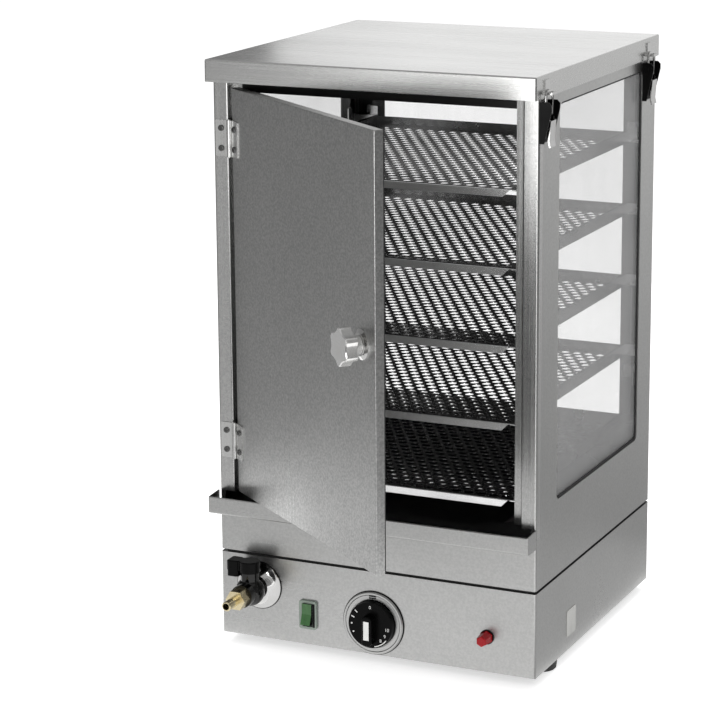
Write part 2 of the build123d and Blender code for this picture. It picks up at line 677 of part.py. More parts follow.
def lid():
    outer = block((-LID_W / 2, LID_W / 2), (LID_FRONT_Y, LID_REAR_Y), (LID_TOP_Z - LID_SKIRT, LID_TOP_Z))
    outer = fillet(outer.edges().filter_by(Axis.Z), 1.8)
    outer = fillet(outer.faces().sort_by(Axis.Z)[-1].edges(), 1.6)
    inner = block(
        (-LID_W / 2 + SHEET, LID_W / 2 - SHEET),
        (LID_FRONT_Y + SHEET, LID_REAR_Y - SHEET),
        (LID_TOP_Z - LID_SKIRT - 1, LID_TOP_Z - SHEET),
    )
    return outer - inner


def at_y(xz, y):
    return (xz[0], y, xz[1])


def paired(shape):
    return shape + mirror(shape, about=Plane.XZ)


def latch_bracket():
    """Base plate with two wedge-shaped cheeks, two ears and the pivot pin."""
    side, out = LATCH_CHEEK[1], HALF_W + LATCH_CHEEK_OUT
    plate = block((HALF_W, HALF_W + 1.5), (-side, side), (LATCH_LOW_Z, LATCH_HIGH_Z))
    outline = Polyline(
        (HALF_W, LATCH_LOW_Z), (HALF_W + 4.5, LATCH_LOW_Z), (out, LATCH_HIGH_Z - 8),
        (out, LATCH_HIGH_Z - 3), (out - 3, LATCH_HIGH_Z), (HALF_W, LATCH_HIGH_Z), close=True,
    )
    cheek = Pos(0, side, 0) * extrude(Plane.XZ * make_face(outline), amount=side - LATCH_CHEEK[0])
    ear = rod(at_y(PIVOT, LATCH_EAR[0]), (0, 1, 0), 2.9, LATCH_EAR[1] - LATCH_EAR[0])
    ear += block((HALF_W + 1, PIVOT[0]), LATCH_EAR, (PIVOT[1] - 2.9, PIVOT[1] + 2.9))
    pin = rod(at_y(PIVOT, -LATCH_TAB[1] - 0.4), (0, 1, 0), LATCH_PIN_R, 2 * LATCH_TAB[1] + 0.8)
    rivet = rod((HALF_W + 1.5, 0, LATCH_LOW_Z + 4), (1, 0, 0), 2.4, 1.2)
    return plate + paired(cheek) + paired(ear) + pin + rivet + Pos(0, 0, 33) * rivet


def latch_keeper():
    """Hook on the lid: a plate with an upturned ledge that the wire sits on."""
    inner, outer = LID_W / 2, PIVOT[0] + 5.2
    plate = block((inner, inner + 1.5), (-6, 6), (602.5, 617))
    ledge = block((inner, outer), (-6, 6), (BAIL_TOP[1] - WIRE_R - 1.8, BAIL_TOP[1] - WIRE_R - 0.3))
    lip = block((outer - 1.2, outer), (-6, 6), (BAIL_TOP[1] - WIRE_R - 1.8, BAIL_TOP[1] - WIRE_R + 0.5))
    return plate + ledge + lip


def latch_lever():
    """A thumb lever: side tabs on the pivot, and a plate that leans in and curls out at its lower end."""
    x0 = PIVOT[0] + 3.3
    points = [(x0 + 0.75, PIVOT[1] - 2), (x0 - 0.9, PIVOT[1] - 22), (x0 + 0.6, PIVOT[1] - 28)]
    profile = trace(FilletPolyline(*points, radius=8), line_width=1.5)
    plate = Pos(0, LATCH_TAB[1], 0) * extrude(Plane.XZ * profile, amount=2 * LATCH_TAB[1])
    tab = rod(at_y(PIVOT, LATCH_TAB[0]), (0, 1, 0), 2.9, LATCH_TAB[1] - LATCH_TAB[0])
    tab += rod(at_y(BAIL_PIN, LATCH_TAB[0]), (0, 1, 0), 2.2, LATCH_TAB[1] - LATCH_TAB[0])
    outline = Polyline(
        (PIVOT[0] - 2.6, PIVOT[1] - 1.2), (PIVOT[0], PIVOT[1] + 2.9), (x0 + 0.5, PIVOT[1] - 1.9),
        (x0 + 0.5, PIVOT[1] - 14), (BAIL_PIN[0], BAIL_PIN[1] - 2.2), (BAIL_PIN[0] - 2.2, BAIL_PIN[1]),
        close=True,
    )
    web = extrude(Plane.XZ * make_face(outline), amount=LATCH_TAB[1] - LATCH_TAB[0])
    tab += Pos(0, LATCH_TAB[1], 0) * web
    lever = plate + paired(tab)
    lever -= rod(at_y(PIVOT, -10), (0, 1, 0), LATCH_PIN_R + RUN_CLEAR, 20)
    lever -= rod(at_y(BAIL_PIN, -10), (0, 1, 0), WIRE_R + RUN_CLEAR, 20)
    return lever


def latch_bail():
    """A wire loop pinned in the lever's tabs."""
    ends, side = 5.7, BAIL_HALF_W
    points = [
        at_y(BAIL_PIN, -ends), at_y(BAIL_PIN, -side), at_y(BAIL_TOP, -side),
        at_y(BAIL_TOP, side), at_y(BAIL_PIN, side), at_y(BAIL_PIN, ends),
    ]
    path = FilletPolyline(*points, radius=[1.5, 4.0, 4.0, 1.5])
    return sweep(Plane(origin=path @ 0, z_dir=path % 0) * Circle(WIRE_R), path=path)


# Door, modelled shut and then swung open about its hinges

def swung(shape):
    axis = Axis((HINGE_X, HINGE_Y, 0), (0, 0, 1))
    return joined([solid.rotate(axis, -DOOR_OPEN_DEG) for solid in shape.solids()])


def spindle_hole():
    return rod((KNOB_X, FRONT_Y - 1, KNOB_Z), (0, 1, 0), SPINDLE_R + RUN_CLEAR, DOOR_PAN_D + SHEET + 2)


def door_outer_pan():
    sheet = DOOR_PAN_SHEET
    x, z = (-DOOR_HALF_W, DOOR_HALF_W), (DOOR_LOW_Z, DOOR_HIGH_Z)
    pan = block(x, (FRONT_Y, FRONT_Y + DOOR_PAN_D), z)
    pan = fillet(pan.faces().sort_by(Axis.Y)[0].edges(), 1.0)
    y = (FRONT_Y + sheet, FRONT_Y + DOOR_PAN_D + 1)
    return pan - block((x[0] + sheet, x[1] - sheet), y, (z[0] + sheet, z[1] - sheet)) - spindle_hole()


def door_inner_panel():
    y = FRONT_Y + DOOR_PAN_D
    panel = block((-DOOR_HALF_W, DOOR_HALF_W), (y, y + SHEET), (DOOR_LOW_Z, DOOR_HIGH_Z))
    return panel - spindle_hole()


def door_seal():
    y = FRONT_Y + DOOR_PAN_D + SHEET
    z_mid, height = (DOOR_LOW_Z + DOOR_HIGH_Z) / 2, DOOR_HIGH_Z - DOOR_LOW_Z
    ring = RectangleRounded(DOOR_W - 2, height - 2, 3) - RectangleRounded(DOOR_W - 16, height - 16, 3)
    return Pos(0, y + DOOR_SEAL_T, 0) * extrude(Plane.XZ * (Pos(0, z_mid) * ring), amount=DOOR_SEAL_T)


def knob_rosette():
    inside = SPINDLE_R + RUN_CLEAR
    outline = Polyline((inside, 0), (14.8, 0), (14.8, 1.5), (11, ROSETTE_T), (inside, ROSETTE_T), close=True)
    cup = revolve(Plane.XZ * make_face(outline), axis=Axis.Z)
    return Pos(KNOB_X, FRONT_Y, KNOB_Z) * Rot(90, 0, 0) * cup


def knob_outline():
    """Six rounded lobes with a shallow scallop between each pair, one lobe at the top."""
    scallop_half, scallop_depth = 7.0, 1.6
    scallop_r = (scallop_half ** 2 + scallop_depth ** 2) / (2 * scallop_depth)
    hexagon = RegularPolygon(KNOB_R + 1.0, 6, rotation=30)
    outline = hexagon & Circle(KNOB_R)
    flat = (KNOB_R + 1.0) * sqrt(3) / 2
    for side in range(6):
        outline -= Rot(0, 0, 60 * side) * Pos(flat - scallop_depth + scallop_r, 0) * Circle(scallop_r)
    return outline


def door_knob():
    """A scalloped knob on a round neck."""
    plane = Plane(origin=(KNOB_X, FRONT_Y - KNOB_OUT + KNOB_T, KNOB_Z), x_dir=(1, 0, 0), z_dir=(0, -1, 0))
    head = extrude(plane * knob_outline(), amount=KNOB_T)
    head = chamfer(head.faces().sort_by(Axis.Y)[0].edges(), 0.9)
    start = FRONT_Y - ROSETTE_T - 0.3
    neck = rod((KNOB_X, start, KNOB_Z), (0, -1, 0), 9.0, KNOB_OUT - KNOB_T - ROSETTE_T - 0.3)
    bore = rod((KNOB_X, start, KNOB_Z), (0, -1, 0), SPINDLE_R, KNOB_OUT - KNOB_T)
    return head + neck - bore


def latch_spindle():
    start = FRONT_Y - ROSETTE_T - 0.3 - (KNOB_OUT - KNOB_T)
    return rod((KNOB_X, start, KNOB_Z), (0, 1, 0), SPINDLE_R, STOP_Y + SHEET + CAM_GAP + CAM_T - start)


def latch_cam():
    """An arm on the spindle behind the door, standing up when open, that turns in behind the door stop."""
    back = FRONT_Y + DOOR_PAN_D + SHEET + 0.2
    y = STOP_Y + SHEET + CAM_GAP
    hub = rod((KNOB_X, back, KNOB_Z), (0, 1, 0), 8.0, y + CAM_T - back)
    arm = block((KNOB_X - 6, KNOB_X + 6), (y, y + CAM_T), (KNOB_Z, KNOB_Z + CAM_LONG))
    arm = fillet(arm.edges().filter_by(Axis.Y).group_by(Axis.Z)[-1], 3)
    return hub + arm - rod((KNOB_X, back - 1, KNOB_Z), (0, 1, 0), SPINDLE_R, 10)


def leaf(sign, knuckles):
    """One hinge leaf at z 0: a plate beside the axis and its own knuckles. sign is -1 for the post."""
    inner, outer = HINGE_LEAF
    y, z = (HINGE_R - HINGE_LEAF_T, HINGE_R), (-HINGE_H / 2, HINGE_H / 2)
    plate = block((sign * inner, sign * outer), y, z)
    plate = fillet(plate.edges().filter_by(Axis.Y).group_by(Axis.X)[0 if sign < 0 else -1], 1.5)
    third = HINGE_H / 3
    for low in knuckles:
        z = -HINGE_H / 2 + low * third
        plate += rod((0, 0, z + 0.15), (0, 0, 1), HINGE_R, third - 0.3)
    for low in range(3):
        if low not in knuckles:
            z = -HINGE_H / 2 + low * third
            plate -= rod((0, 0, z - 0.15), (0, 0, 1), HINGE_R + 0.3, third + 0.3)
    pin_clear = RUN_CLEAR if sign > 0 else 0
    plate -= rod((0, 0, -HINGE_H), (0, 0, 1), HINGE_PIN_R + pin_clear, 2 * HINGE_H)
    out, apart = HINGE_SCREW
    for z in (-apart, apart):
        plate -= rod((sign * out, 0, z), (0, 1, 0), SCREW_R, 6)
    return plate


def screw():
    """A cross-recessed screw lying along Y, its head from y 0 outwards."""
    head = rod((0, 0, 0), (0, -1, 0), 2 * SCREW_R, 1.6)
    head = fillet(head.faces().sort_by(Axis.Y)[0].edges(), 0.9)
    shank = rod((0, 0, 0), (0, 1, 0), SCREW_R, HINGE_LEAF_T)
    cross = block((-2.0, 2.0), (-2, -0.9), (-0.4, 0.4)) + block((-0.4, 0.4), (-2, -0.9), (-2.0, 2.0))
    return head + shank - cross


def hinge_screws(sign):
    y = FRONT_Y - HINGE_LEAF_T
    out, apart = HINGE_SCREW
    return joined([
        Pos(HINGE_X + sign * out, y, z + dz) * screw() for z in HINGE_Z for dz in (-apart, apart)
    ])


def hinge_leaves(sign, knuckles):
    return joined([Pos(HINGE_X, HINGE_Y, z) * leaf(sign, knuckles) for z in HINGE_Z])


def hinge_pins():
    pin = rod((0, 0, -HINGE_H / 2 - 0.8), (0, 0, 1), HINGE_PIN_R, HINGE_H + 1.6)
    return joined([Pos(HINGE_X, HINGE_Y, z) * pin for z in HINGE_Z])


def all_nodes():
    nodes = {
        "base_shell": base_shell(),
        "base_bottom_plate": base_bottom_plate(),
        "rubber_feet": rubber_feet(),
        "foot_screws": foot_screws(),
        "seam_gasket": seam_gasket(),
        "thermostat_body": thermostat_body(),
        "thermostat_shaft": thermostat_shaft(),
        "dial_bezel": dial_bezel(),
        "dial_knob": dial_knob(),
        "switch_housing": switch_housing(),
        "switch_rocker": switch_rocker(),
        "lamp_body": lamp_body(),
        "lamp_lens": lamp_lens(),
        "cable_gland": cable_gland(),
        "rating_label": rating_label(),
        "drain_rosette": drain_rosette(),
        "drain_valve_body": drain_valve_body(),
        "drain_hose_tail": drain_hose_tail(),
        "drain_stem": drain_stem(),
        "drain_lever": drain_lever(),
        "drain_pipe": drain_pipe(),
        "water_basin": water_basin(),
        "heating_element": heating_element(),
        "front_tank_panel": front_tank_panel(),
        "drip_gutter": drip_gutter(),
        "right_wall": right_wall(),
        "left_wall": mirrored(right_wall()),
        "rear_wall": rear_wall(),
        "right_post": right_post(),
        "left_post": mirrored(right_post()),
        "head_rail": head_rail(),
        "side_glass_panes": both_sides(right_glass()),
        "rear_glass_pane": rear_glass(),
        "window_gaskets": joined([both_sides(right_gasket()), rear_gasket()]),
        "glass_clips": glass_clips(),
        "tray_runners": tray_runners(),
        "lid": lid(),
        "hinge_post_leaves": hinge_leaves(-1, (0, 2)),
        "hinge_pins": hinge_pins(),
        "hinge_post_screws": hinge_screws(-1),
        "hinge_door_leaves": swung(hinge_leaves(1, (1,))),
        "hinge_door_screws": swung(hinge_screws(1)),
        "door_outer_pan": swung(door_outer_pan()),
        "door_inner_panel": swung(door_inner_panel()),
        "door_seal": swung(door_seal()),
        "knob_rosette": swung(knob_rosette()),
        "door_knob": swung(door_knob()),
        "latch_spindle": swung(latch_spindle()),
        "latch_cam": swung(latch_cam()),
        "toggle_brackets": joined([Pos(0, y, 0) * latch_bracket() for y in LATCH_Y]),
        "toggle_keepers": joined([Pos(0, y, 0) * latch_keeper() for y in LATCH_Y]),
    }
    for place, y in zip(("front", "rear"), LATCH_Y):
        nodes[f"{place}_toggle_lever"] = Pos(0, y, 0) * latch_lever()
        nodes[f"{place}_toggle_bail"] = Pos(0, y, 0) * latch_bail()
    one_tray = tray()
    for number, z in enumerate(TRAY_Z, start=1):
        nodes[f"tray_{number}"] = Pos(0, 0, z) * one_tray
    return nodes


if __name__ == "__main__":
    os.makedirs("parts", exist_ok=True)
    for name, shape in all_nodes().items():
        export_step(shape, f"parts/{name}.step")
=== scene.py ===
import math

import bmesh
import bpy
from mathutils import Matrix, Vector


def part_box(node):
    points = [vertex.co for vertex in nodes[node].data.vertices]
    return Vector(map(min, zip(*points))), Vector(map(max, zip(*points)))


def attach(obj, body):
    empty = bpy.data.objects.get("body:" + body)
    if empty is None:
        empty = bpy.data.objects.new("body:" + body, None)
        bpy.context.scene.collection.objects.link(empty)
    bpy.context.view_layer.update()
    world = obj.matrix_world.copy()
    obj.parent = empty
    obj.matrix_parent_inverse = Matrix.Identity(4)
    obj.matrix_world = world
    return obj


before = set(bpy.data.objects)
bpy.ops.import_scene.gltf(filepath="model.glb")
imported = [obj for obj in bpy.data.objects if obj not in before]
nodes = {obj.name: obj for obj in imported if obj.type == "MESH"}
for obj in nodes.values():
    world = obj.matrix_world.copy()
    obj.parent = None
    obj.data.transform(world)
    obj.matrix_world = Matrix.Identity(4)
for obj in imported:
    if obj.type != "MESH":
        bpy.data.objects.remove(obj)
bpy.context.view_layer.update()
MM = 0.001

# Where the camera stands and how it looks, in metres and degrees.
CAMERA_PLACE = (1.0755, -2.5154, 0.9716)
CAMERA_YAW = 24.88
CAMERA_PITCH = 12.57
CAMERA_ROLL = -0.38
CAMERA_LENS = 131.0
CAMERA_SHIFT_Y = -0.1

# How bright the world is to everything but the camera, and half the floor's width.
STUDIO_LEVEL = 0.5
FLOOR_HALF = 14.0

# Directions, and the deepest black of plastic and ink.
TO_FRONT = (0.0, -1.0, 0.0)
TO_LEFT = (-1.0, 0.0, 0.0)
TO_RIGHT = (1.0, 0.0, 0.0)
BLACK = (0.002, 0.002, 0.002, 1.0)

# Printed marks on the thermostat. Radii are from the knob's axis, faces from the front panel, and
# angles clockwise from the top in degrees. A bar is given by half its length and half its width.
PRINT_T = 0.15 * MM
BEZEL_FACE = 2.9 * MM
BEZEL_BAR_RADII = (27.3 * MM, 29.3 * MM)
BEZEL_BAR = (4.0 * MM, 0.65 * MM)
BEZEL_STEM_RADIUS = 26.3 * MM
BEZEL_STEM = (1.0 * MM, 0.4 * MM)
SKIRT_FACE = 9.6 * MM
SKIRT_MARKS_RADIUS = 20.6 * MM
TICK_ANGLES = (311.0, 291.0, 192.0)
TICK = (1.8 * MM, 0.6 * MM)
DOT_ANGLES = (270.0, 245.0)
DOT_RADII = (0.05 * MM, 0.95 * MM)
DOT_SWEEP = (0.0, 345.0)
NUMBERS = {"0": 0.0, "10": 98.0, "9": 121.0, "8": 142.0}
NUMBERS_RADIUS = 19.2 * MM
NUMBER_HEIGHT = 5.0 * MM
SWEEP_RADII = (22.3 * MM, 23.3 * MM)
SWEEP_ANGLES = (128.0, 168.0)
POINTER = (6.0 * MM, 20.0 * MM)
POINTER_DROP = 3.0 * MM

# Flat black rings on the front panel, painted shadow lines round the bezel and the drain rosette: inner
# radius, outer radius and thickness.
BEZEL_SHADOW_RING = (30.0 * MM, 34.3 * MM, 0.8 * MM)
ROSETTE_SHADOW_RING = (22.0 * MM, 25.9 * MM, 0.6 * MM)
RING_STEPS = 96

# The black strip of painted shadow on the switch frame beside the rocker: its place to the right of the
# middle, and its size.
SHADOW_STRIP_X = 7.1 * MM
SHADOW_STRIP = (2.6 * MM, 25.6 * MM)


def add_camera():
    data = bpy.data.cameras.new("camera")
    data.lens = CAMERA_LENS
    data.sensor_width = 36.0
    data.shift_y = CAMERA_SHIFT_Y
    data.clip_end = 60.0
    camera = bpy.data.objects.new("camera", data)
    turn = Matrix.Rotation(math.radians(CAMERA_YAW), 4, "Z")
    tilt = Matrix.Rotation(math.radians(90.0 - CAMERA_PITCH), 4, "X")
    roll = Matrix.Rotation(math.radians(CAMERA_ROLL), 4, "Z")
    camera.matrix_world = Matrix.Translation(CAMERA_PLACE) @ turn @ tilt @ roll
    bpy.context.scene.collection.objects.link(camera)
    bpy.context.scene.camera = camera


# Material building blocks


class Shader:
    """A material with one Principled node, and short ways to add nodes that feed it."""

    def __init__(self, name, **values):
        self.material = bpy.data.materials.new(name)
        self.material.use_nodes = True
        self.tree = self.material.node_tree
        self.bsdf = self.tree.nodes["Principled BSDF"]
        for socket, value in values.items():
            self.bsdf.inputs[socket.replace("_", " ")].default_value = value

    def add(self, kind, inputs=None, **settings):
        made = self.tree.nodes.new(kind)
        for setting, value in settings.items():
            setattr(made, setting, value)
        for socket, value in (inputs or {}).items():
            self.feed(made.inputs[socket], value)
        return made

    def feed(self, socket, value):
        if isinstance(value, bpy.types.NodeSocket):
            self.tree.links.new(value, socket)
        else:
            socket.default_value = value

    def place(self, scale):
        """Object coordinates, stretched by scale."""
        coordinates = self.add("ShaderNodeTexCoord")
        mapping = self.add("ShaderNodeMapping", {"Vector": coordinates.outputs["Object"], "Scale": scale})
        return mapping.outputs["Vector"]

    def noise(self, scale, size=1.0, detail=4.0, roughness=0.55):
        """Noise over object coordinates, from 0 to 1. scale stretches it, so that it can run in lines."""
        made = self.add(
            "ShaderNodeTexNoise",
            {"Vector": self.place(scale), "Scale": size, "Detail": detail, "Roughness": roughness},
        )
        return made.outputs["Fac"]

    def spread(self, value, low, high, start=0.25, end=0.75):
        """A value between start and end taken to one between low and high."""
        made = self.add(
            "ShaderNodeMapRange",
            {"Value": value, "From Min": start, "From Max": end, "To Min": low, "To Max": high},
        )
        return made.outputs["Result"]

    def maths(self, operation, first, second):
        made = self.add("ShaderNodeMath", {0: first, 1: second}, operation=operation)
        return made.outputs["Value"]

    def mix(self, share, first, second):
        made = self.add("ShaderNodeMix", {"Factor": share}, data_type="RGBA")
        for socket, value in ((made.inputs[6], first), (made.inputs[7], second)):
            self.feed(socket, value)
        return made.outputs[2]

    def bump(self, height, strength, distance=0.0002):
        made = self.add(
            "ShaderNodeBump", {"Height": height, "Strength": strength, "Distance": distance}
        )
        return made.outputs["Normal"]

    def facing(self, direction, start, end):
        """1 where the surface, as modelled, faces a direction, and 0 where it doesn't."""
        normal = self.add("ShaderNodeTexCoord").outputs["Normal"]
        dot = self.add("ShaderNodeVectorMath", {0: normal, 1: direction}, operation="DOT_PRODUCT")
        return self.spread(dot.outputs["Value"], 0.0, 1.0, start, end)

    def set(self, **sockets):
        for socket, value in sockets.items():
            self.feed(self.bsdf.inputs[socket.replace("_", " ")], value)
        return self.material


def grey(value, tint=(1.0, 1.0, 1.0)):
    return (value * tint[0], value * tint[1], value * tint[2], 1.0)


GRAINS = {"x": (3.0, 420.0, 420.0), "y": (420.0, 3.0, 420.0), "z": (420.0, 420.0, 3.0)}
STEEL_TINT = (1.0, 1.0, 0.985)
STAIN_TINT = (1.0, 0.97, 0.92)
# Near black tone of painted shade on the walls' inner faces.
PAINTED_SHADE_TONE = 0.04


def brushed_steel(name, grain, tone, roughness, speckle=0.10, smudge=0.06, painted_shade_side=None):
    """Stainless sheet brushed along one axis: fine lines, a mottled lustre, wipe marks and faint stains.

    The last argument gives the direction of the inner faces, which are painted near black as painted shade.
    """
    shader = Shader(name, Metallic=1.0)
    lines = shader.noise(GRAINS[grain], detail=3.0, roughness=0.6)
    wipes = shader.noise(tuple(6.0 if s > 10 else 1.5 for s in GRAINS[grain]), detail=2.0)
    clouds = shader.noise((9.0, 9.0, 9.0), detail=4.0)
    mottle = shader.noise((420.0, 420.0, 420.0), detail=2.0, roughness=0.7)
    dark, light = grey(tone * 0.90, STEEL_TINT), grey(tone * 1.08, STEEL_TINT)
    colour = shader.mix(shader.spread(lines, 0.2, 0.8), dark, light)
    colour = shader.mix(shader.spread(clouds, 0.0, 0.35), colour, grey(tone * 0.82, STEEL_TINT))
    colour = shader.mix(shader.spread(mottle, 0.0, 3.0 * speckle, 0.38, 0.62), colour, grey(tone * 0.6))
    # Painted shade: the inner faces are painted near black.
    if painted_shade_side:
        colour = shader.mix(shader.facing(painted_shade_side, 0.6, 0.8), colour, grey(PAINTED_SHADE_TONE))
    rough = shader.maths("ADD", shader.spread(lines, roughness - 0.05, roughness + 0.05),
                         shader.spread(wipes, -smudge, smudge))
    return shader.set(Base_Color=colour, Roughness=rough, Normal=shader.bump(lines, 0.35, 0.00006))


def mill_steel(name, tone, roughness):
    """Dull sheet as it comes from the mill, a little stained by steam."""
    shader = Shader(name, Metallic=1.0)
    stains = shader.noise((14.0, 14.0, 14.0), detail=6.0, roughness=0.65)
    fine = shader.noise((600.0, 600.0, 600.0), detail=2.0)
    colour = shader.mix(shader.spread(stains, 0.0, 0.5), grey(tone), grey(tone * 0.6, STAIN_TINT))
    rough = shader.spread(stains, roughness - 0.06, roughness + 0.08)
    return shader.set(Base_Color=colour, Roughness=rough, Normal=shader.bump(fine, 0.12, 0.00005))


def tray_steel(name, tone, lip_highlight_tone):
    """Perforated sheet in a dark tone as painted shade of the cabinet's inside, with stains, and painted
    bright on its faces to the front as a painted highlight along its lip.
    """
    shader = Shader(name, Metallic=1.0)
    stains = shader.noise((14.0, 14.0, 14.0), detail=6.0, roughness=0.65)
    fine = shader.noise((600.0, 600.0, 600.0), detail=2.0)
    # Painted highlight: faces to the front are painted bright.
    lip = shader.facing(TO_FRONT, 0.6, 0.8)
    # Painted shade: the whole sheet has a dark tone, with stains on it.
    dull = shader.mix(shader.spread(stains, 0.0, 0.4), grey(tone), grey(tone * 0.6, STAIN_TINT))
    rough = shader.spread(stains, 0.16, 0.3)
    return shader.set(Base_Color=shader.mix(lip, dull, grey(lip_highlight_tone)), Roughness=rough,
                      Normal=shader.bump(fine, 0.1, 0.00005))


def chrome(name, tone=0.78, roughness=0.07, metallic=1.0):
    """Bright plating with faint wear and fingermarks."""
    shader = Shader(name, Metallic=metallic)
    wear = shader.noise((60.0, 60.0, 60.0), detail=5.0, roughness=0.6)
    fine = shader.noise((900.0, 900.0, 900.0), detail=2.0)
    colour = shader.mix(shader.spread(wear, 0.0, 1.0), grey(tone), grey(tone * 0.9, (1.0, 0.99, 0.96)))
    rough = shader.spread(wear, roughness, roughness + 0.08)
    return shader.set(Base_Color=colour, Roughness=rough, Normal=shader.bump(fine, 0.05, 0.00003))


def brass(name):
    shader = Shader(name, Metallic=1.0)
    rings = shader.noise((80.0, 700.0, 80.0), detail=3.0)
    tarnish = shader.noise((70.0, 70.0, 70.0), detail=5.0)
    bright, dull = (0.83, 0.74, 0.50, 1.0), (0.50, 0.40, 0.22, 1.0)
    colour = shader.mix(shader.spread(tarnish, 0.0, 0.6), bright, dull)
    rough = shader.spread(tarnish, 0.18, 0.34)
    return shader.set(Base_Color=colour, Roughness=rough, Normal=shader.bump(rings, 0.2, 0.00008))


def heater_metal(name):
    """A sheathed heater: dull tube, heat-tinted and scaled with lime."""
    shader = Shader(name, Metallic=1.0)
    tint = shader.noise((25.0, 25.0, 25.0), detail=4.0)
    lime = shader.noise((180.0, 180.0, 180.0), detail=6.0, roughness=0.7)
    colour = shader.mix(shader.spread(tint, 0.0, 1.0), (0.28, 0.26, 0.25, 1.0), (0.20, 0.17, 0.20, 1.0))
    limed = shader.mix(shader.spread(lime, 0.0, 0.5, 0.5, 0.75), colour, (0.55, 0.53, 0.49, 1.0))
    return shader.set(Base_Color=limed, Roughness=shader.spread(lime, 0.3, 0.6),
                      Normal=shader.bump(lime, 0.3, 0.0002))


def plastic(name, colour, roughness=0.42, speckle=0.1, **values):
    """Moulded plastic with a fine texture and slightly uneven gloss."""
    shader = Shader(name, **values)
    grain = shader.noise((900.0, 900.0, 900.0), detail=2.0)
    patches = shader.noise((45.0, 45.0, 45.0), detail=3.0)
    darker = tuple(channel * 0.8 for channel in colour[:3]) + (1.0,)
    tone = shader.mix(shader.spread(patches, 0.0, 1.0), colour, darker)
    return shader.set(Base_Color=tone, Roughness=shader.spread(patches, roughness - 0.06, roughness + 0.08),
                      Normal=shader.bump(grain, speckle, 0.00006))


def rubber(name):
    shader = Shader(name)
    dust = shader.noise((40.0, 40.0, 40.0), detail=5.0, roughness=0.7)
    grain = shader.noise((500.0, 500.0, 500.0), detail=3.0)
    colour = shader.mix(shader.spread(dust, 0.0, 0.5), (0.014, 0.014, 0.015, 1.0), (0.05, 0.05, 0.048, 1.0))
    return shader.set(Base_Color=colour, Roughness=shader.spread(dust, 0.6, 0.85),
                      Normal=shader.bump(grain, 0.3, 0.0001))


def window_glass(name, haze_and_reflection_low, haze_and_reflection_high, tone):
    """Clear float glass with a thin whitish film, partly limescale haze and partly painted reflection of
    the bright room, so it shows what is behind it.
    """
    shader = Shader(name, Roughness=0.05, IOR=1.5)
    haze_and_reflection = shader.noise((5.0, 5.0, 9.0), detail=5.0, roughness=0.6)
    drips = shader.noise((60.0, 60.0, 5.0), detail=3.0)
    # Painted reflection: the film stands for the room's reflection on the pane, with haze and drips in it.
    film = shader.maths("ADD", shader.spread(haze_and_reflection, haze_and_reflection_low, haze_and_reflection_high), shader.spread(drips, -0.01, 0.02))
    return shader.set(Base_Color=shader.mix(haze_and_reflection, grey(tone * 0.92), grey(tone)), Alpha=film,
                      Normal=shader.bump(haze_and_reflection, 0.02, 0.0001))


def two_colour_plastic(name, front, shaded_sides, roughness=0.25):
    """Moulded plastic whose face to the front has a colour of its own, and whose other faces are painted
    near black as painted shade.
    """
    shader = Shader(name)
    faces_front = shader.facing(TO_FRONT, 0.55, 0.65)
    depth = shader.noise((160.0, 160.0, 60.0), detail=3.0)
    patches = shader.noise((45.0, 45.0, 45.0), detail=3.0)
    face = shader.mix(shader.spread(depth, 0.0, 0.7), front, tuple(c * 0.55 for c in front[:3]) + (1.0,))
    return shader.set(Base_Color=shader.mix(faces_front, shaded_sides, face),
                      Roughness=shader.spread(patches, roughness - 0.06, roughness + 0.08),
                      Normal=shader.bump(depth, 0.05, 0.0001))


